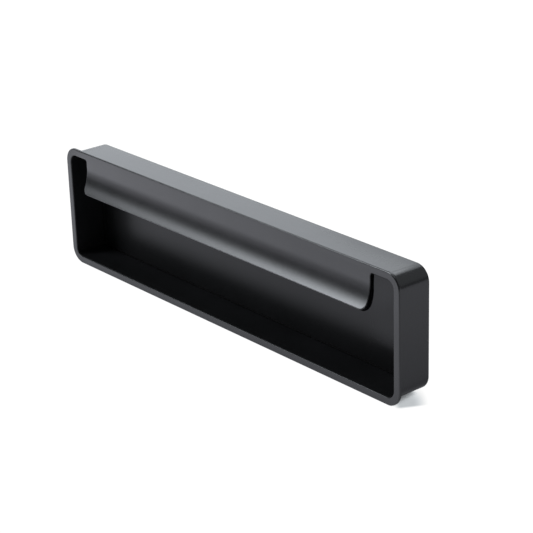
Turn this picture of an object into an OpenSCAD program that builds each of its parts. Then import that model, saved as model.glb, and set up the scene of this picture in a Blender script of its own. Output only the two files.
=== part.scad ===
// Recessed pull handle: a cast tray that drops into a pocket, a thin rim that laps over the panel round the
// pocket, and a finger lip that hangs from the rim's top strip and curls towards the user.
// X runs along the handle, +Z is up and the user stands on the -Y side. The origin is the centre of the seat,
// which is the plane of the rim's back, where the panel's face lies.

/* [Rim] */
// Length of the rim, end to end
rim_length = 196; // [184:1:320]
// Height of the rim
rim_height = 50; // [46:0.5:80]
// Thickness of the rim in front of the panel
rim_thickness = 1; // [0.8:0.1:2]
// Outer corner radius of the rim
rim_corner_r = 6.2; // [4:0.1:9]
// Rounding of the rim's front edge
rim_edge_r = 0.5; // [0.2:0.05:0.7]
// How far the rim laps over the panel, all the way round
rim_overlap = 1.5; // [1:0.1:3]

/* [Tray] */
// Depth of the tray behind the panel's face
tray_depth = 15; // [12:0.5:24]
// Thickness of the tray's walls and of its back
wall = 1.6; // [1.2:0.1:2.4]
// Outer corner radius of the tray
tray_corner_r = 5.9; // [4:0.1:7]
// Rounding between the tray's walls and the outside of its back
back_edge_r = 0.7; // [0.3:0.1:1.2]
// Corner radius of the opening and the hollow behind it
hollow_corner_r = 3.2; // [2.5:0.1:5]
// Fillet between the hollow's walls and its back
crease_r = 0.6; // [0.3:0.1:1.5]

/* [Finger lip] */
// Thickness of the lip at its root
lip_thickness = 2; // [1.5:0.1:3]
// Gap between each end of the lip and the end of the opening
lip_end_gap = 11.2; // [6:0.1:25]
// Flat stretch of the lip's front below the opening's top edge
lip_flat = 3.2; // [2:0.1:5]
// Radius of the bend below it, on the lip's front
lip_bend_r = 18.4; // [14:0.2:22]
// Flat stretch of the lip's back below the opening's top edge
lip_back_flat = 6.5; // [5:0.1:8]
// Radius of the bend below it, on the lip's back
lip_back_r = 13; // [10:0.5:18]
// Lean of the lip's front at its tip, in degrees
lip_lean = 33.2; // [20:0.2:36]
// Rounding of the tip's two long edges
lip_tip_r = 0.35; // [0.2:0.05:0.7]
// Radius of the lip's two lower corners
lip_corner_r = 3; // [1:0.1:4]
// Fillet where the lip runs into the rim and the tray's top wall
lip_root_r = 1; // [0.4:0.1:1.5]

/* [Fixing] */
// Distance between the two screws that hold the handle from behind
screw_spacing = 160; // [96:1:160]
// Outer diameter of a screw boss
boss_d = 8; // [7:0.5:12]
// Height of a screw boss behind the tray
boss_height = 4; // [2:0.5:8]
// Fillet round the foot of a screw boss
boss_foot_r = 0.8; // [0.3:0.1:1.2]
// Diameter of the tapped hole, before its thread
tap_d = 3.3; // [2.5:0.1:4.2]
// Metal left between the tapped hole and the hollow
tap_floor = 1; // [0.8:0.1:1.2]
// Chamfer at the mouth of the tapped hole and round the boss's end
boss_chamfer = 0.4; // [0.2:0.05:0.5]

/* [Hidden] */
$fn = 96;
coat_color = [0.13, 0.13, 0.14];
// How far joined shapes run into each other, and how far a cut runs past a face
bite = 0.4;
// How far a convex rounding's circle stands proud, so that it crosses both faces cleanly
proud = 0.02;

rim_front = -rim_thickness;
tray_length = rim_length - 2 * rim_overlap;
tray_height = rim_height - 2 * rim_overlap;
hollow_length = tray_length - 2 * wall;
hollow_height = tray_height - 2 * wall;
hollow_top = hollow_height / 2;
hollow_back = tray_depth - wall;
lip_half = hollow_length / 2 - lip_end_gap;
boss_end = tray_depth + boss_height;
lip_back = rim_front + lip_thickness;
lip_top = hollow_top + wall / 2;
// Centres of the bends on the lip's front and back as [depth, height]
bend_centre = [rim_front - lip_bend_r, hollow_top - lip_flat];
back_centre = [lip_back - lip_back_r, hollow_top - lip_back_flat];
// How far the back corner of the tip lies from the front bend's centre, and the lean of the lip's back there
tip_line = [cos(lip_lean), -sin(lip_lean)];
centre_gap = back_centre - bend_centre;
tip_reach = centre_gap * tip_line + sqrt(lip_back_r * lip_back_r - pow(cross(centre_gap, tip_line), 2));
back_lean = asin((back_centre[1] - bend_centre[1] - tip_reach * tip_line[1]) / lip_back_r);

// Half the section of a block, out from its middle, with one square edge and one rounded edge
module soft_section(half_width, square_at, round_at, edge_r) {
    inner = half_width - edge_r;
    shoulder = round_at - sign(round_at - square_at) * edge_r;
    polygon([[0, square_at], [half_width, square_at], [half_width, shoulder], [inner, shoulder],
             [inner, round_at], [0, round_at]]);
    translate([inner, shoulder])
        circle(edge_r);
}

// The same section on both sides of the middle
module whole_soft_section(half_width, square_at, round_at, edge_r) {
    for (side = [0, 1])
        mirror([side, 0])
            soft_section(half_width, square_at, round_at, edge_r);
}

// A block between two depths with round corners as seen from the front. Its face at square_at keeps a sharp
// edge, and its face at round_at has a rounded one.
module soft_block(length, height, corner_r, square_at, round_at, edge_r) {
    for (side = [-1, 1], end = [-1, 1])
        translate([side * (length / 2 - corner_r), 0, end * (height / 2 - corner_r)])
            rotate([-90, 0, 0])
                rotate_extrude()
                    soft_section(corner_r, square_at, round_at, edge_r);
    linear_extrude(height - 2 * corner_r, center = true)
        whole_soft_section(length / 2, square_at, round_at, edge_r);
    rotate([0, 90, 0])
        linear_extrude(length - 2 * corner_r, center = true)
            whole_soft_section(height / 2, square_at, round_at, edge_r);
}

// What a fillet adds in an inside corner: the corner is at the origin and the fillet is at +X, +Y
module inside_fillet(r) {
    difference() {
        translate([-bite, -bite])
            square(r + bite);
        translate([r, r])
            circle(r);
    }
}

// What a rounding takes off an outside corner: the corner is at the origin and the metal is at +X, +Y
module outside_rounding(r) {
    difference() {
        translate([-bite, -bite])
            square(r + bite - proud);
        translate([r - proud, r - proud])
            circle(r);
    }
}

// Turns a sketch of depth and height so that it runs along the handle
module along_handle() {
    rotate([90, 0, 90])
        children();
}

// Puts children at the lip's tip: the origin is the bend's centre, X crosses the lip and Y runs back up it
module at_tip() {
    translate(bend_centre)
        rotate(-lip_lean)
            children();
}

// All that lies behind the lip's front: straight above the bend's centre, hollowed out below it
module behind_front() {
    translate([rim_front, bend_centre[1]])
        square([lip_bend_r, lip_top - bend_centre[1]]);
    difference() {
        translate(bend_centre - [0, lip_bend_r])
            square([2 * lip_bend_r, lip_bend_r]);
        translate(bend_centre)
            circle(lip_bend_r);
    }
}

// All that lies in front of the lip's back: straight above the bend's centre, rounded off below it
module before_back() {
    translate(back_centre)
        square([lip_back_r, lip_top - back_centre[1]]);
    intersection() {
        translate(back_centre - [0, lip_back_r])
            square(lip_back_r);
        translate(back_centre)
            circle(lip_back_r);
    }
}

// The lip cut across, as depth and height
module lip_section() {
    difference() {
        intersection() {
            behind_front();
            before_back();
        }
        at_tip() {
            translate([0, -lip_bend_r])
                square([2 * lip_bend_r, lip_bend_r]);
            translate([lip_bend_r, 0])
                outside_rounding(lip_tip_r);
            translate([tip_reach, 0])
                rotate((lip_lean - back_lean) / 2)
                    mirror([1, 0])
                        outside_rounding(lip_tip_r);
        }
    }
    translate([lip_back, hollow_top])
        mirror([0, 1])
            inside_fillet(lip_root_r);
}

// The lip from the front, with a fillet beside each end of its root
module lip_outline() {
    translate([-lip_half, -hollow_top])
        square([2 * lip_half, 2 * hollow_top + wall / 2]);
    for (side = [0, 1])
        mirror([side, 0])
            translate([lip_half, hollow_top])
                mirror([0, 1])
                    inside_fillet(lip_root_r);
}

// What rounds off the two lower corners of the lip, square to its tip
module lip_corner_cuts() {
    for (side = [0, 1])
        mirror([side, 0, 0])
            along_handle()
                at_tip()
                    translate([lip_bend_r - 2 * bite, 0, lip_half])
                        rotate([0, 90, 0])
                            linear_extrude(tip_reach - lip_bend_r + 4 * bite)
                                outside_rounding(lip_corner_r);
}

module lip() {
    difference() {
        intersection() {
            along_handle()
                linear_extrude(2 * (lip_half + lip_root_r), center = true)
                    lip_section();
            rotate([90, 0, 0])
                linear_extrude(2 * lip_bend_r, center = true)
                    lip_outline();
        }
        lip_corner_cuts();
    }
}

// The tray and the rim, without the lip
module tray() {
    difference() {
        union() {
            soft_block(rim_length, rim_height, rim_corner_r, 0, rim_front, rim_edge_r);
            soft_block(tray_length, tray_height, tray_corner_r, rim_front / 2, tray_depth, back_edge_r);
        }
        soft_block(hollow_length, hollow_height, hollow_corner_r, rim_front - bite, hollow_back, crease_r);
    }
}

// A screw boss on the back of the tray
module boss() {
    boss_r = boss_d / 2;
    foot = tray_depth - wall / 2;
    rotate([-90, 0, 0])
        rotate_extrude() {
            polygon([[0, foot], [boss_r, foot], [boss_r, boss_end - boss_chamfer],
                     [boss_r - boss_chamfer, boss_end], [0, boss_end]]);
            translate([boss_r, tray_depth])
                inside_fillet(boss_foot_r);
        }
}

// The blind hole that is tapped for a machine screw
module screw_hole() {
    tap_r = tap_d / 2;
    past = boss_end + bite;
    rotate([-90, 0, 0])
        rotate_extrude()
            polygon([[0, hollow_back + tap_floor], [tap_r, hollow_back + tap_floor],
                     [tap_r, boss_end - boss_chamfer], [tap_r + boss_chamfer + bite, past], [0, past]]);
}

// Puts children at each of the two screws
module at_screws() {
    for (side = [-1, 1])
        translate([side * screw_spacing / 2, 0, 0])
            children();
}

module pull_handle() {
    color(coat_color)
        difference() {
            union() {
                tray();
                lip();
                at_screws() boss();
            }
            at_screws() screw_hole();
        }
}

pull_handle();
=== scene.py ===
"""Looks for the recessed pull handle: a finer shell, its satin coat, and a light studio."""

import math
from collections import namedtuple

import bpy
import numpy as np
from mathutils import Matrix, Vector
from mathutils.geometry import delaunay_2d_cdt


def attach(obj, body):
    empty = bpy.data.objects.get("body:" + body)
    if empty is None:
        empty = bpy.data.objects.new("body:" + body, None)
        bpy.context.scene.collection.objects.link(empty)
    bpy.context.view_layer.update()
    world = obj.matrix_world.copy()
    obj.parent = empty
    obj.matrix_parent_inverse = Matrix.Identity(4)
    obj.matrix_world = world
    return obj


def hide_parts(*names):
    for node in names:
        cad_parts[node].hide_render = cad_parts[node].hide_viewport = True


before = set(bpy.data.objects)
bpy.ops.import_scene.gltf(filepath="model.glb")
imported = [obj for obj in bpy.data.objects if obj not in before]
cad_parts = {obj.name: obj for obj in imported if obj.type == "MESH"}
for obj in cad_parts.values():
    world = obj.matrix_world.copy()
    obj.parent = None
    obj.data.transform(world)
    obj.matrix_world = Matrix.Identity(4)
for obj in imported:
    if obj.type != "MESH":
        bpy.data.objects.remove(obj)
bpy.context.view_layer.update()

MM = 0.001

# Sizes in millimetres, as in the part's source
RIM_HALF = (98.0, 25.0)
RIM_R = 6.2
RIM_EDGE = 0.5
RIM_FRONT = -1.0
TRAY_HALF = (96.5, 23.5)
TRAY_R = 5.9
TRAY_BACK = 15.0
BACK_EDGE = 0.7
HOLLOW_HALF = (94.9, 21.9)
HOLLOW_R = 3.2
HOLLOW_BACK = 13.4
CREASE = 0.6
LIP_HALF = 83.7
LIP_T = 2.0
LIP_FLAT = 3.2
BEND_R = 18.4
BACK_FLAT = 6.5
BACK_R = 13.0
BEND = math.radians(33.2)
TIP_R = 0.35
CORNER_R = 3.0
ROOT_R = 1.0
SCREW_X = 80.0
BOSS_R = 4.0
BOSS_END = 19.0
FOOT_R = 0.8
TAP_R = 1.65
TAP_FLOOR = 14.4
CHAMFER = 0.4

# The thread in the screw holes. A share of each pitch is flat at the crest, and the same again at the root.
THREAD_PITCH = 0.7
THREAD_DEPTH = 0.34
THREAD_FLAT = 0.12
THREAD_ROW = 0.07

# Small roundings that a cast and coated edge has. The lip's back one grows to its size over a stretch.
SOFT_EDGE = 0.3
MOUTH_EDGE = 0.6
RIM_BACK_EDGE = 0.12
BACK_EDGE_STRETCH = 3.0

# Heights and depths that follow from the sizes
TOP = HOLLOW_HALF[1]
ROOT = TOP - ROOT_R
ROOT_END = LIP_HALF + ROOT_R
ROOT_BACK = RIM_FRONT + LIP_T + ROOT_R
BEND_TOP = TOP - LIP_FLAT
BEND_Y = RIM_FRONT - BEND_R
BACK_TOP = TOP - BACK_FLAT
BACK_Y = RIM_FRONT + LIP_T - BACK_R
TIP = BEND_TOP - BEND_R * BEND
FOOT = BOSS_R + FOOT_R

# How many steps each curve is cut into
CORNER_STEPS = 20
ROUND_STEPS = 6
RIM_BACK_STEPS = 3
ROOT_STEPS = 8
LIP_SIDE_STEPS = 34
LATHE_STEPS = 72

# Corners in one cell of a fine grid share a vertex. The offset keeps round sizes off the cells' walls.
CELLS_PER_MM = 1000
CELL_OFFSET = 0.37
MERGE = 1e-5
SLIGHT = 1e-3
TIP_MARGIN = 0.1

# Material slots of the shell
OUTSIDE = 0
HOLLOW = 1


class Shell:
    """Collects faces in millimetres. Corners in one place share a vertex, each with its exact normal."""

    def __init__(self):
        self.index = {}
        self.points = []
        self.faces = []
        self.normals = []
        self.slots = []
        self.slot = OUTSIDE

    def vertex(self, point):
        key = tuple(math.floor(c * CELLS_PER_MM + CELL_OFFSET) for c in point)
        if key not in self.index:
            self.index[key] = len(self.points)
            self.points.append(point)
        return self.index[key]

    def face(self, points, normals):
        """One face, turned to the side that its normals point to."""
        ids = [self.vertex(p) for p in points]
        keep = [k for k in range(len(ids)) if ids[k] != ids[k - 1]]
        if len(keep) < 3:
            return
        pts = [np.asarray(points[k], float) for k in keep]
        area = sum(np.cross(pts[k] - pts[0], pts[k + 1] - pts[0]) for k in range(1, len(pts) - 1))
        if np.dot(area, sum(np.asarray(normals[k], float) for k in keep)) < 0:
            keep.reverse()
        self.faces.append([ids[k] for k in keep])
        self.normals += [tuple(normals[k]) for k in keep]
        self.slots.append(self.slot)

    def grid(self, points, normals):
        """Quads between rows of points. Each row has as many points as the next."""
        for i in range(len(points) - 1):
            for j in range(len(points[i]) - 1):
                at = [(i, j), (i, j + 1), (i + 1, j + 1), (i + 1, j)]
                self.face([points[a][b] for a, b in at], [normals[a][b] for a, b in at])

    def sheet(self, loops, ties, place, normal, inside):
        """Triangles over a flat region: loops bound it, ties are extra edges, place lays it out in 3-D."""
        flat, edges = [], []
        for loop in loops:
            start = len(flat)
            flat += [tuple(p) for p in loop]
            edges += [(start + k, start + (k + 1) % len(loop)) for k in range(len(loop))]
        for a, b in ties:
            edges.append((len(flat), len(flat) + 1))
            flat += [tuple(a), tuple(b)]
        out, _, tris, *_ = delaunay_2d_cdt([Vector(p) for p in flat], edges, [], 0, MERGE)
        for tri in tris:
            corners = [(out[k].x, out[k].y) for k in tri]
            middle = (sum(c[0] for c in corners) / 3, sum(c[1] for c in corners) / 3)
            if inside(middle):
                self.face([place(c) for c in corners], [normal(c) for c in corners])

    def build(self, name):
        mesh = bpy.data.meshes.new(name)
        mesh.from_pydata([tuple(c * MM for c in p) for p in self.points], [], self.faces)
        mesh.polygons.foreach_set("use_smooth", [True] * len(mesh.polygons))
        mesh.polygons.foreach_set("material_index", self.slots)
        mesh.update()
        mesh.normals_split_custom_set([Vector(n).normalized() for n in self.normals])
        obj = bpy.data.objects.new(name, mesh)
        bpy.context.scene.collection.objects.link(obj)
        return obj


def turn(steps):
    """Angles from 0 to a right angle."""
    return [math.pi / 2 * k / steps for k in range(steps + 1)]


def around():
    """Directions round a full turn, the first repeated at the end."""
    return [(math.cos(2 * math.pi * k / LATHE_STEPS), math.sin(2 * math.pi * k / LATHE_STEPS))
            for k in list(range(LATHE_STEPS)) + [0]]


def loop_frame(half, r):
    """Corner centres and directions round a rounded rectangle, anticlockwise from its right side."""
    out = []
    for quarter in range(4):
        sx = 1 if quarter in (0, 3) else -1
        sz = 1 if quarter in (0, 1) else -1
        centre = (sx * (half[0] - r), sz * (half[1] - r))
        for k in range(CORNER_STEPS + 1):
            a = math.pi / 2 * (quarter + k / CORNER_STEPS)
            out.append((centre, (math.cos(a), math.sin(a))))
    return out


def ring(half, r, inset):
    """The rounded rectangle as (x, z) points, moved inwards by inset."""
    return [(c[0] + (r - inset) * d[0], c[1] + (r - inset) * d[1]) for c, d in loop_frame(half, r)]


def in_polygon(loop):
    """A test for whether a point lies inside a closed polygon."""
    xs = np.array([p[0] for p in loop])
    zs = np.array([p[1] for p in loop])
    nx, nz = np.roll(xs, -1), np.roll(zs, -1)

    def test(p):
        cross = (zs > p[1]) != (nz > p[1])
        with np.errstate(divide="ignore", invalid="ignore"):
            at = xs + (p[1] - zs) * (nx - xs) / (nz - zs)
        return bool(np.count_nonzero(cross & (p[0] < at)) % 2)

    return test


def band(shell, half, r, rows):
    """A closed band round a rounded rectangle. A row is inset, depth, and its normal out and along Y."""
    line = loop_frame(half, r)
    line.append(line[0])
    points, normals = [], []
    for inset, y, out, along in rows:
        points.append([(c[0] + (r - inset) * d[0], y, c[1] + (r - inset) * d[1]) for c, d in line])
        normals.append([(out * d[0], along, out * d[1]) for _, d in line])
    shell.grid(points, normals)


def wall_to_face(r, depth, steps=ROUND_STEPS):
    """Rows that round a wall over into a face at this depth."""
    return [(r * (1 - math.cos(a)), depth - r * (1 - math.sin(a)), math.cos(a), math.sin(a))
            for a in turn(steps)]


def face_to_wall(r, depth):
    """Inset, depth and the normal's two shares, from a face at this depth round to a wall behind it."""
    return [(r * (1 - math.sin(a)), depth + r * (1 - math.cos(a)), math.sin(a), math.cos(a))
            for a in turn(ROUND_STEPS)]


def outside(shell):
    """The rim's edge and back, the tray's walls and its back with the two bosses."""
    front = [(inset, y, out, -along) for inset, y, out, along in face_to_wall(RIM_EDGE, RIM_FRONT)]
    band(shell, RIM_HALF, RIM_R, front + wall_to_face(RIM_BACK_EDGE, 0.0, RIM_BACK_STEPS))

    rim_back = [ring(RIM_HALF, RIM_R, RIM_BACK_EDGE), ring(TRAY_HALF, TRAY_R, 0)]
    rows = [[(x, 0.0, z) for x, z in line + line[:1]] for line in rim_back]
    shell.grid(rows, [[(0, 1, 0)] * len(rows[0])] * 2)
    band(shell, TRAY_HALF, TRAY_R, [(0, 0.0, 1, 0)] + wall_to_face(BACK_EDGE, TRAY_BACK))

    screws = (-SCREW_X, SCREW_X)
    circles = [[(x + FOOT * c, FOOT * s) for c, s in around()[:-1]] for x in screws]

    def clear_of_bosses(p):
        return all(math.hypot(p[0] - x, p[1]) > FOOT * (1 - SLIGHT) for x in screws)

    shell.sheet([ring(TRAY_HALF, TRAY_R, BACK_EDGE)] + circles, [], lambda p: (p[0], TRAY_BACK, p[1]),
                lambda p: (0, 1, 0), clear_of_bosses)
    for x in screws:
        boss(shell, x)


def lathe(shell, x, rows):
    """A surface turned about a screw's axis. A row is radius, depth, and its normal's share out and on Y."""
    points = [[(x + r * c, y, r * s) for c, s in around()] for r, y, _, _ in rows]
    normals = [[(out * c, along, out * s) for c, s in around()] for _, _, out, along in rows]
    shell.grid(points, normals)


def boss(shell, x):
    """A screw boss with the fillet at its foot, its chamfer and its threaded blind hole."""
    foot = [(BOSS_R + inset, y, out, along) for inset, y, out, along in face_to_wall(FOOT_R, TRAY_BACK)]
    shoulder = BOSS_END - CHAMFER
    slope = math.sqrt(0.5)
    mouth = TAP_R + CHAMFER
    lathe(shell, x, foot + [(BOSS_R, shoulder, 1, 0)])
    lathe(shell, x, [(BOSS_R, shoulder, slope, slope), (BOSS_R - CHAMFER, BOSS_END, slope, slope)])
    lathe(shell, x, [(BOSS_R - CHAMFER, BOSS_END, 0, 1), (mouth, BOSS_END, 0, 1)])
    thread(shell, x, mouth)
    lathe(shell, x, [(TAP_R, TAP_FLOOR, 0, 1), (0.0, TAP_FLOOR, 0, 1)])


def thread(shell, x, mouth):
    """The wall of a tapped hole, with the chamfer at its mouth."""
    def radius(turns, y):
        wave = abs((y / THREAD_PITCH - turns) % 1 - 0.5) * 2
        groove = min(max((wave - THREAD_FLAT) / (1 - 2 * THREAD_FLAT), 0), 1)
        fade = min(max((y - TAP_FLOOR) / THREAD_PITCH, 0), 1)
        return max(TAP_R + THREAD_DEPTH * groove * fade, mouth - (BOSS_END - y))

    rows = round((BOSS_END - TAP_FLOOR) / THREAD_ROW)
    points, normals = [], []
    for row in range(rows + 1):
        y = BOSS_END - (BOSS_END - TAP_FLOOR) * row / rows
        line, lean = [], []
        for k, (c, s) in enumerate(around()):
            turns = (k % LATHE_STEPS) / LATHE_STEPS
            r = radius(turns, y)
            along = (radius(turns, y + SLIGHT) - radius(turns, y - SLIGHT)) / (2 * SLIGHT)
            per_turn = (radius(turns + SLIGHT, y) - radius(turns - SLIGHT, y)) / (2 * SLIGHT)
            about = per_turn / (2 * math.pi * r)
            line.append((x + r * c, y, r * s))
            lean.append((-c - about * s, along, -s + about * c))
        points.append(line)
        normals.append(lean)
    shell.grid(points, normals)


def on_plate(x, v, d):
    """A point of the lip: v is the height unrolled down its front, and d the depth below that front."""
    if v >= BEND_TOP:
        return (x, RIM_FRONT + d, v)
    a = (BEND_TOP - v) / BEND_R
    return (x, BEND_Y + (BEND_R + d) * math.cos(a), BEND_TOP - (BEND_R + d) * math.sin(a))


def plate_axes(v):
    """The lip's own up and its outward front direction at an unrolled height."""
    a = max(0.0, BEND_TOP - v) / BEND_R
    return (0, math.sin(a), math.cos(a)), (0, -math.cos(a), math.sin(a))


def lip_depth(v):
    """The lip's thickness, square to its front, at an unrolled height. It grows towards the tip."""
    a = max(0.0, BEND_TOP - v) / BEND_R
    c, s = math.cos(a), math.sin(a)
    straight = (BEND_R + LIP_T) / c
    if straight * s <= BEND_TOP - BACK_TOP:
        return straight - BEND_R
    y, z = BACK_Y - BEND_Y, BACK_TOP - BEND_TOP
    return y * c - z * s + math.sqrt(BACK_R ** 2 - (y * s + z * c) ** 2) - BEND_R


def back_direction(v):
    """The outward direction of the lip's back at an unrolled height."""
    _, y, z = on_plate(0, v, lip_depth(v))
    return (0, 1, 0) if z >= BACK_TOP else (0, (y - BACK_Y) / BACK_R, (z - BACK_TOP) / BACK_R)


# A point of the lip's outline: place, outward normal, front and back rounding, and the depth of the side
EdgePoint = namedtuple("EdgePoint", "x v normal front back depth")


def lip_edge():
    """The lip's outline, from its root at the right end, down and round to its root at the left end."""
    half = []
    for a in reversed(turn(ROOT_STEPS)):
        spread = ROOT_R * (1 - math.cos(a))
        normal = (math.cos(a), -math.sin(a))
        front = SOFT_EDGE + (MOUTH_EDGE - SOFT_EDGE) * math.sin(a)
        v = ROOT + ROOT_R * math.sin(a)
        half.append(EdgePoint(LIP_HALF + spread, v, normal, front, 0.0, LIP_T + spread))
    low = TIP + CORNER_R
    for k in range(1, LIP_SIDE_STEPS):
        v = ROOT + (low - ROOT) * k / LIP_SIDE_STEPS
        back = SOFT_EDGE * min(1.0, (ROOT - v) / BACK_EDGE_STRETCH)
        half.append(EdgePoint(LIP_HALF, v, (1, 0), SOFT_EDGE, back, lip_depth(v)))
    for k, a in enumerate(turn(CORNER_STEPS)):
        grow = k / CORNER_STEPS
        edge = SOFT_EDGE + (TIP_R - SOFT_EDGE) * grow * grow * (3 - 2 * grow)
        x = LIP_HALF - CORNER_R * (1 - math.cos(a))
        v = low - CORNER_R * math.sin(a)
        half.append(EdgePoint(x, v, (math.cos(a), -math.sin(a)), edge, edge, lip_depth(v)))
    return half + [p._replace(x=-p.x, normal=(-p.normal[0], p.normal[1])) for p in reversed(half)]


def side_direction(p):
    """The direction in which the lip's side faces at a point of its outline."""
    up, _ = plate_axes(p.v)
    return np.array([p.normal[0], p.normal[1] * up[1], p.normal[1] * up[2]])


def front_corner(p, a):
    """Place and normal on the rounding between the lip's front, at angle 0, and its side."""
    shift, depth = p.front * (math.sin(a) - 1), p.front * (1 - math.cos(a))
    _, out = plate_axes(p.v)
    normal = side_direction(p) * math.sin(a) + np.array(out) * math.cos(a)
    return on_plate(p.x + shift * p.normal[0], p.v + shift * p.normal[1], depth), tuple(normal)


def back_corner(p, a):
    """Place and normal on the rounding between the lip's side, at angle 0, and its back."""
    shift = p.back * (math.cos(a) - 1)
    v = p.v + shift * p.normal[1]
    depth = p.depth - p.back * (1 - math.sin(a)) + (lip_depth(v) - lip_depth(p.v))
    normal = side_direction(p)
    if p.back > 0:
        normal = normal * math.cos(a) + np.array(back_direction(v)) * math.sin(a)
    return on_plate(p.x + shift * p.normal[0], v, depth), tuple(normal)


def lip_side(shell, edge):
    """The side of the lip, from its front face round to its back face."""
    points, normals = [], []
    for corner in (front_corner, back_corner):
        for a in turn(ROUND_STEPS):
            made = [corner(p, a) for p in edge]
            points.append([place for place, _ in made])
            normals.append([normal for _, normal in made])
    shell.grid(points, normals)


def opening_line():
    """The opening's corner centres and directions, from one end of the lip's root round to the other."""
    loop = loop_frame(HOLLOW_HALF, HOLLOW_R)
    first = CORNER_STEPS + 1
    right_end = ((ROOT_END, TOP - HOLLOW_R), (0.0, 1.0))
    left_end = ((-ROOT_END, TOP - HOLLOW_R), (0.0, 1.0))
    return [right_end] + loop[:first][::-1] + loop[first:][::-1] + [left_end]


def walls(shell, line, rows):
    """Walls that face inwards along a line. A row is inset, depth, and its normal in and against Y."""
    points = [[(c[0] + (HOLLOW_R - inset) * d[0], y, c[1] + (HOLLOW_R - inset) * d[1]) for c, d in line]
              for inset, y, _, _ in rows]
    normals = [[(-inward * d[0], -along, -inward * d[1]) for _, d in line] for _, _, inward, along in rows]
    shell.grid(points, normals)
    return points[-1]


def hollow(shell, line):
    """The opening's edge, the hollow's walls and back, and the fillet behind the lip's root."""
    mouth = [(-inset, y, out, along) for inset, y, out, along in face_to_wall(MOUTH_EDGE, RIM_FRONT)]
    inner = [(0.0, ROOT_BACK, 1.0, 0.0)] + wall_to_face(CREASE, HOLLOW_BACK)
    walls(shell, line, mouth)
    foot = walls(shell, line, [mouth[-1]] + inner)

    # The top wall behind the lip
    top = [[(-ROOT_END, y, TOP - inset), (ROOT_END, y, TOP - inset)] for inset, y, _, _ in inner]
    shell.grid(top, [[(0, -along, -inwards)] * 2 for _, _, inwards, along in inner])

    # The fillet between the lip's back and that wall
    fillet, lean = [], []
    for a in turn(ROOT_STEPS):
        spread = ROOT_R * (1 - math.cos(a))
        y, z = RIM_FRONT + LIP_T + spread, ROOT + ROOT_R * math.sin(a)
        fillet.append([(side * (LIP_HALF + spread), y, z) for side in (-1, 1)])
        lean.append([(0, math.cos(a), -math.sin(a))] * 2)
    shell.grid(fillet, lean)
    shell.face(foot, [(0, -1, 0)] * len(foot))


def inset_line(edge, widths):
    """The lip's outline moved inwards, by a width for each point."""
    return [(p.x - w * p.normal[0], p.v - w * p.normal[1]) for p, w in zip(edge, widths)]


def ties_across(line, first):
    """Edges across the lip from side to side, so that its bend stays smooth."""
    return [(line[k], line[-1 - k]) for k in range(first, len(line) // 2 - 1)]


def front_face(shell, edge, line):
    """The rim's front and the front of the lip, which grows out of it."""
    lip = inset_line(edge, [p.front for p in edge])
    wide = HOLLOW_R + MOUTH_EDGE
    opening = [(c[0] + wide * d[0], c[1] + wide * d[1]) for c, d in line[1:-1]]
    hole = lip + opening[::-1]
    in_hole = in_polygon(hole)

    def on_lip(p):
        return abs(p[0]) <= LIP_HALF and TIP - TIP_MARGIN < p[1] < BEND_TOP

    shell.sheet([ring(RIM_HALF, RIM_R, RIM_EDGE), hole], ties_across(lip, ROOT_STEPS + 1),
                lambda p: on_plate(p[0], p[1], 0.0) if on_lip(p) else (p[0], RIM_FRONT, p[1]),
                lambda p: plate_axes(p[1])[1] if on_lip(p) else (0, -1, 0),
                lambda p: not in_hole(p))


def back_face(shell, edge):
    """The lip's back, below the fillet at its root."""
    lip = inset_line(edge, [p.back for p in edge])[ROOT_STEPS:-ROOT_STEPS]
    shell.sheet([lip], ties_across(lip, 1), lambda p: on_plate(p[0], p[1], lip_depth(p[1])),
                lambda p: back_direction(p[1]), in_polygon(lip))


def handle_faces(shell):
    """The whole handle: its outside, the lip's side, the hollow, and the lip's two faces."""
    edge, line = lip_edge(), opening_line()
    outside(shell)
    lip_side(shell, edge)
    shell.slot = HOLLOW
    hollow(shell, line)
    shell.slot = OUTSIDE
    front_face(shell, edge, line)
    back_face(shell, edge)


shell = Shell()
handle_faces(shell)
handle = shell.build("handle_shell")
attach(handle, "root")
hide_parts("pull_handle")

# Camera, fitted to the photograph's edges. Angles are in degrees, and the focal length is in image pixels.
# The offset runs to its own right, up and back, in millimetres from the middle of the rim's front.
CAMERA_AZIMUTH = 50.4192
CAMERA_HEIGHT = 22.0244
CAMERA_ROLL = -1.7533
CAMERA_OFFSET = (18.328, 0.010, 687.05)
FOCAL_PX = 1824.38
IMAGE_PX = 533
SENSOR_MM = 36
CLIP_START = 0.01


def make_camera():
    az, el, roll = (math.radians(a) for a in (CAMERA_AZIMUTH, CAMERA_HEIGHT, CAMERA_ROLL))
    back = Vector((math.sin(az) * math.cos(el), -math.cos(az) * math.cos(el), math.sin(el)))
    level_right = Vector((math.cos(az), math.sin(az), 0))
    level_up = back.cross(level_right)
    right = level_right * math.cos(roll) + level_up * math.sin(roll)
    up = -level_right * math.sin(roll) + level_up * math.cos(roll)
    to_right, to_top, away = CAMERA_OFFSET
    place = right * to_right + up * to_top + back * away + Vector((0, RIM_FRONT, 0))
    data = bpy.data.cameras.new("camera")
    data.sensor_width = SENSOR_MM
    data.lens = SENSOR_MM * FOCAL_PX / IMAGE_PX
    data.clip_start = CLIP_START
    camera = bpy.data.objects.new("camera", data)
    camera.matrix_world = Matrix.Translation(place * MM) @ Matrix((right, up, back)).transposed().to_4x4()
    bpy.context.scene.collection.objects.link(camera)
    bpy.context.scene.camera = camera


make_camera()

WHITE = (1, 1, 1, 1)
RISE = (0.0, 1.0)
FALL = (1.0, 0.0)


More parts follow.
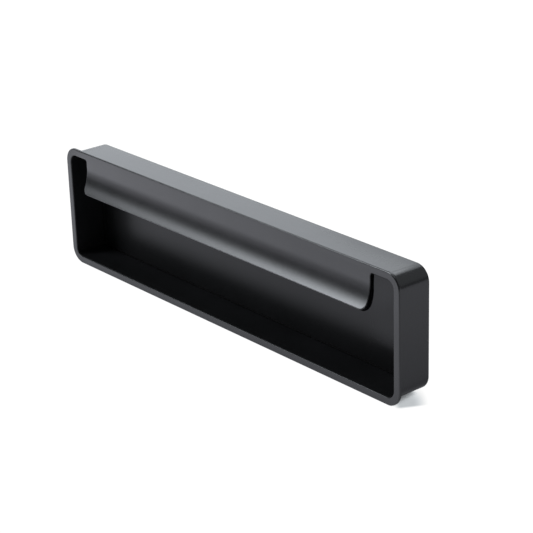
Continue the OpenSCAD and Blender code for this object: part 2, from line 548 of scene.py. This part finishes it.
class Graph:
    """Short calls that add nodes to the emptied node tree of a material or world, and link them."""

    def __init__(self, owner):
        owner.use_nodes = True
        self.tree = owner.node_tree
        self.tree.nodes.clear()

    def node(self, kind, **settings):
        made = self.tree.nodes.new(kind)
        for key, value in settings.items():
            setattr(made, key, value)
        return made

    def feed(self, socket, value):
        if isinstance(value, bpy.types.NodeSocket):
            self.tree.links.new(value, socket)
        else:
            socket.default_value = value

    def filled(self, kind, inputs, **settings):
        """A node whose inputs are fed by name."""
        made = self.node(kind, **settings)
        for name, value in inputs.items():
            self.feed(made.inputs[name], value)
        return made

    def math(self, operation, a, b=0.0):
        made = self.node("ShaderNodeMath", operation=operation)
        self.feed(made.inputs[0], a)
        self.feed(made.inputs[1], b)
        return made.outputs[0]

    def total(self, *values):
        out = values[0]
        for value in values[1:]:
            out = self.math("ADD", out, value)
        return out

    def product(self, *values):
        out = values[0]
        for value in values[1:]:
            out = self.math("MULTIPLY", out, value)
        return out

    def ramp(self, value, span, ends=RISE):
        """Goes smoothly from one end to the other as value crosses the span."""
        made = self.filled("ShaderNodeMapRange", {
            "Value": value,
            "From Min": span[0],
            "From Max": span[1],
            "To Min": ends[0],
            "To Max": ends[1],
        }, interpolation_type="SMOOTHSTEP")
        return made.outputs["Result"]

    def mix(self, factor, first, second):
        """A shader between two."""
        made = self.node("ShaderNodeMixShader")
        for k, value in enumerate((factor, first, second)):
            self.feed(made.inputs[k], value)
        return made.outputs[0]

    def between(self, factor, first, second, kind="RGBA"):
        """A colour between two, or a number between two."""
        inputs = {"Factor": factor, "A": first, "B": second}
        return self.filled("ShaderNodeMix", inputs, data_type=kind).outputs["Result"]

    def glow(self, colour, strength):
        inputs = {"Color": colour, "Strength": strength}
        return self.filled("ShaderNodeEmission", inputs).outputs[0]

    def place_mm(self):
        """X, Y and Z on the object, in millimetres."""
        split = self.node("ShaderNodeSeparateXYZ")
        self.feed(split.inputs[0], self.node("ShaderNodeTexCoord").outputs["Object"])
        return [self.math("MULTIPLY", axis, 1 / MM) for axis in split.outputs]

    def seen_directly(self):
        """1 for rays that come straight from the camera or through something clear."""
        path = self.node("ShaderNodeLightPath")
        return self.math("MAXIMUM", path.outputs["Is Camera Ray"], path.outputs["Is Transmission Ray"])


# Coats: base colour, roughness, index of refraction, and the bump's height in millimetres
Coat = namedtuple("Coat", "colour rough ior bump_mm")
OUTER = Coat((0.0050, 0.0050, 0.0054), 0.24, 1.75, 0.006)
# A glossier copy of the hollow's coat: a painted sheen on the back's upper part
PAINTED_SHEEN_COAT = Coat((0.0040, 0.0040, 0.0043), 0.30, 1.42, 0.006)
# The hollow's matt coat: rougher than the outside, and less reflective as painted shade
MATT = Coat((0.0058, 0.0058, 0.0061), 0.55, 1.18, 0.009)
# A paler, rougher copy: painted light on the hollow's end walls and bottom
PAINTED_LIGHT_COAT = Coat((0.0140, 0.0140, 0.0150), 0.60, 1.18, 0.009)
# A darker, less reflective copy: painted shade in the hollow's crease
CREASE_SHADE_COAT = Coat((0.0027, 0.0027, 0.0028), 0.60, 1.10, 0.009)

# Sizes of the coat's grain, orange peel and patches in millimetres, and how far its tone and gloss vary
GRAIN_MM = 0.28
PEEL_MM = 1.7
PATCH_MM = 14.0
NOISE_SPAN = (0.3, 0.7)
TONES = (0.7, 1.3)
GLOSS_ENDS = (-0.02, 0.02)


def satin(g, coat, *rougher):
    """A satin powder coat: fine grain, a soft orange peel, and a tone and gloss that vary a little."""
    place = g.node("ShaderNodeTexCoord").outputs["Object"]

    def noise(size_mm, detail):
        inputs = {"Vector": place, "Scale": 1 / (size_mm * MM), "Detail": detail}
        return g.filled("ShaderNodeTexNoise", inputs).outputs["Fac"]

    fine, peel, patches = noise(GRAIN_MM, 2.0), noise(PEEL_MM, 1.0), noise(PATCH_MM, 3.0)
    tint = g.ramp(g.total(g.product(fine, 0.6), g.product(patches, 0.4)), NOISE_SPAN)
    wear = g.total(g.product(fine, 0.35), g.product(patches, 0.65))
    darker, paler = (tuple(c * tone for c in coat.colour) + (1,) for tone in TONES)
    height = g.total(g.product(fine, 0.25), peel)
    bump = g.filled("ShaderNodeBump", {"Height": height, "Distance": coat.bump_mm * MM})
    return g.filled("ShaderNodeBsdfPrincipled", {
        "Base Color": g.between(tint, darker, paler),
        "Roughness": g.total(g.ramp(wear, NOISE_SPAN, GLOSS_ENDS), g.total(coat.rough, *rougher)),
        "IOR": coat.ior,
        "Normal": bump.outputs["Normal"],
    }).outputs["BSDF"]


def outer_coat(g):
    """Glossier near the lip's left end, more matt on the rim's left strip and the rear right of the top."""
    x, y, z = g.place_mm()
    left_strip = g.ramp(x, (-95, -86), (0.12, 0.0))
    lip_left = g.ramp(x, (-86, -50), (-0.05, 0.0))
    top_right = g.product(g.ramp(z, (22.8, 23.3)), g.ramp(x, (20, 90)))
    top_rear = g.product(top_right, g.ramp(y, (2, 15), (-0.05, 0.12)))
    return satin(g, OUTER, left_strip, lip_left, top_rear)


def hollow_coat(g):
    """Matt in the hollow, apart from the opening's edge, with painted light and shade: copies of the coat
    are glossier on the back's upper part, paler on the end walls and bottom, and darker in the crease.
    """
    x, y, z = g.place_mm()
    outwards = g.math("ABSOLUTE", x)

    # Each of these is 1 in the place that its name says
    # Painted shade on the opening's edge: towards the bottom the matt coat starts nearer the front, which
    # dims that edge's highlight
    edge_end = g.ramp(z, (-21.6, -18), (RIM_FRONT + 0.15, RIM_FRONT + 0.33))
    edge = g.ramp(y, (RIM_FRONT, edge_end), FALL)
    back = g.ramp(y, (HOLLOW_BACK - CREASE, HOLLOW_BACK))
    # Painted sheen: the glossier coat on the back's upper part, fading out downwards and at the left end
    upper_back_sheen = g.product(back, g.ramp(z, (-20, -5)), g.ramp(x, (-94.3, -91)))
    end_wall = g.ramp(outwards, (93.8, 94.8))
    bottom = g.ramp(z, (-21.8, -21.4), FALL)
    ends_or_bottom = g.math("MAXIMUM", g.ramp(outwards, (94.2, 94.5)), g.ramp(z, (-21.5, -21.2), FALL))
    # Painted shade along the crease where the back meets the end walls and the bottom
    crease_shade = g.product(g.ramp(y, (12.7, 13.0)), ends_or_bottom)
    right_of_lip = g.product(g.ramp(x, (64, 78)), g.ramp(x, (82, 91), FALL))

    # Painted light: a paler, rougher coat on the end walls, and on the bottom more of it the deeper that is
    painted_light = g.math("MAXIMUM", end_wall, g.product(bottom, g.ramp(y, (2, 10), (0.1, 0.5))))
    matt = satin(g, MATT, g.product(right_of_lip, -0.15))
    soft = satin(g, PAINTED_SHEEN_COAT, g.product(right_of_lip, -0.12), g.ramp(x, (-91, -78), (0.14, 0.0)))
    deep = g.mix(crease_shade, g.mix(painted_light, matt, satin(g, PAINTED_LIGHT_COAT)), satin(g, CREASE_SHADE_COAT))
    return g.mix(edge, g.mix(upper_back_sheen, deep, soft), outer_coat(g))


def paint(obj, name, build):
    """A new material whose surface build makes, added to the object's slots."""
    made = bpy.data.materials.new(name)
    g = Graph(made)
    g.filled("ShaderNodeOutputMaterial", {"Surface": build(g)})
    obj.data.materials.append(made)


paint(handle, "satin_black", outer_coat)
paint(handle, "satin_black_hollow", hollow_coat)

# Floor, in metres. It ends a short way off in front, and the room beyond it is dark.
FLOOR_Z = -0.025
FLOOR_SIDE = 3.0
FLOOR_FRONT = -0.30
FLOOR_REAR = 4.0
AO_REACH = 0.03
AO_SAMPLES = 16
PAPER = (0.8, 0.8, 0.8, 1)
MIRRORED_TINT = (0.98, 1.0, 1.09, 1)
SHADE_TINT = (0.955, 1.0, 1.035, 1)

# How bright the painted pool of light in the mirrored floor is: what each stretch of depth, in millimetres,
# adds to the base
POOL_BASE = 0.25
POOL_STEPS = (((-300, -150), 0.18), ((-125, -75), 0.60), ((-70, -50), -0.24))
PATCH_GLOW = 0.24
SHADOW_TURN = math.radians(50)
SHADOW_SLANT = 0.2
SHADOW_DARKNESS = 0.48


def painted_pool_light(g, x, y, openness):
    """Painted light that the coat mirrors of the floor: a pale pool, with painted shade beside and behind
    the right end and close to the handle.
    """
    steps = [g.ramp(y, span, (0.0, added)) for span, added in POOL_STEPS]
    # A painted brighter patch in the pool
    patch = g.product(g.ramp(y, (-60, -45)), g.ramp(y, (-30, -20), FALL),
                      g.ramp(x, (-5, 10)), g.ramp(x, (22, 34), FALL), PATCH_GLOW)
    close = g.ramp(y, (-20, -4), (1.0, 0.83))
    left = g.ramp(x, (-200, 20), (1.34, 1.0))
    behind = g.ramp(y, (-4, 4))
    in_front = g.total(1.0, g.product(behind, -1.0))
    right_front = g.product(in_front, g.ramp(x, (100, 150), (0.0, -0.5)))
    right_fade = g.total(g.ramp(x, (100, 180), (-0.46, -0.24)), g.ramp(x, (95, 112), (-0.22, 0.0)))
    right = g.total(1.0, right_front, g.product(behind, right_fade))
    return g.product(g.total(POOL_BASE, *steps, patch), close, left, right, g.ramp(openness, (0.05, 0.42)))


def shadow(g, x, y):
    """The right end's painted soft shadow: along runs away from the corner, and near comes towards the
    camera.
    """
    c, s = math.cos(SHADOW_TURN), math.sin(SHADOW_TURN)
    from_corner = g.total(x, -RIM_HALF[0])
    along = g.total(g.product(from_corner, c), g.product(y, s))
    near = g.total(g.product(from_corner, s), g.product(y, -c))
    slanted = g.total(near, g.product(g.math("MAXIMUM", along, 0.0), SHADOW_SLANT))
    return g.product(g.ramp(along, (4, 11), FALL), g.ramp(slanted, (-2.6, -0.4), FALL),
                     g.ramp(near, (-22, -6)), g.ramp(along, (-3, 0)))


def floor_paper(g):
    """Glows for the camera, with painted shade near the handle and a painted shadow by the right end, and
    glows in the coat's reflections as a painted pool of light; it is plain pale paper for all other rays.
    """
    x, y, _ = g.place_mm()
    inputs = {"Distance": AO_REACH}
    openness = g.filled("ShaderNodeAmbientOcclusion", inputs, samples=AO_SAMPLES).outputs["AO"]
    # Painted shade: the glow is darker where ambient occlusion finds the handle close
    ao_shade = g.ramp(openness, (0.08, 0.28), (0.12, 1.05))
    lit = g.product(ao_shade, g.total(1.0, g.product(shadow(g, x, y), -SHADOW_DARKNESS)))
    plain = g.filled("ShaderNodeBsdfDiffuse", {"Color": PAPER}).outputs[0]
    shown = g.glow(g.between(g.ramp(lit, (0.55, 1.0)), SHADE_TINT, WHITE), lit)
    mirrored = g.glow(MIRRORED_TINT, painted_pool_light(g, x, y, openness))
    glossy = g.node("ShaderNodeLightPath").outputs["Is Glossy Ray"]
    return g.mix(glossy, g.mix(g.seen_directly(), plain, shown), mirrored)


def make_floor():
    mesh = bpy.data.meshes.new("floor")
    outline = [(-FLOOR_SIDE, FLOOR_FRONT), (FLOOR_SIDE, FLOOR_FRONT), (FLOOR_SIDE, FLOOR_REAR),
               (-FLOOR_SIDE, FLOOR_REAR)]
    mesh.from_pydata([(x, y, FLOOR_Z) for x, y in outline], [], [(0, 1, 2, 3)])
    floor = bpy.data.objects.new("floor", mesh)
    bpy.context.scene.collection.objects.link(floor)
    paint(floor, "floor", floor_paper)


make_floor()

# Soft boxes at infinity. All angles are in degrees: azimuth runs from +X towards +Y, and heights count from
# the horizon. Each edge fades over its soft value to either side.
SoftBox = namedtuple("SoftBox", "strength azimuth half_width soft_sides low high soft_low soft_high")
SOFT_BOXES = (
    SoftBox(0.09, 200, 60, 15, -8, 12, 4, 6),
    SoftBox(0.08, 237, 16, 6, -3, 7, 3, 4),
    SoftBox(6.8, 231.5, 12.8, 1.5, 15, 55, 12, 6),
    SoftBox(1.46, 163, 33, 11, 2, 46, 3, 5),
    SoftBox(2.0, 116, 15, 7, 31, 50, 5, 5),
    SoftBox(0.25, 50, 45, 15, 10, 55, 10, 10),
    SoftBox(1.1, 0, 400, 1, 66, 95, 4, 1),
)
ROOM_LIGHT = 0.08
ROOM_TINT = (0.95, 1.0, 1.06, 1)


def box_light(g, direction, height, box):
    """How bright a soft box is in each direction."""
    c, s = math.cos(math.radians(box.azimuth)), math.sin(math.radians(box.azimuth))
    along = g.total(g.product(direction["X"], c), g.product(direction["Y"], s))
    across = g.total(g.product(direction["X"], -s), g.product(direction["Y"], c))
    off = g.math("ABSOLUTE", g.math("DEGREES", g.math("ARCTAN2", across, along)))
    sides = g.ramp(off, (box.half_width - box.soft_sides, box.half_width + box.soft_sides), FALL)
    rise = g.ramp(height, (box.low - box.soft_low, box.low + box.soft_low))
    fall = g.ramp(height, (box.high - box.soft_high, box.high + box.soft_high), FALL)
    return g.product(sides, rise, fall, box.strength)


def make_world():
    """Soft boxes in a dark room. The camera sees white."""
    world = bpy.data.worlds.new("world")
    bpy.context.scene.world = world
    g = Graph(world)
    split = g.node("ShaderNodeSeparateXYZ")
    g.feed(split.inputs[0], g.node("ShaderNodeTexCoord").outputs["Generated"])
    height = g.math("DEGREES", g.math("ARCSINE", split.outputs["Z"]))
    light = g.total(ROOM_LIGHT, *(box_light(g, split.outputs, height, box) for box in SOFT_BOXES))
    seen = g.seen_directly()
    sky = g.filled("ShaderNodeBackground", {
        "Color": g.between(seen, ROOM_TINT, WHITE),
        "Strength": g.between(seen, light, 1.0, "FLOAT"),
    })
    g.filled("ShaderNodeOutputWorld", {"Surface": sky.outputs[0]})


make_world()
bpy.context.scene.view_settings.view_transform = "Standard"
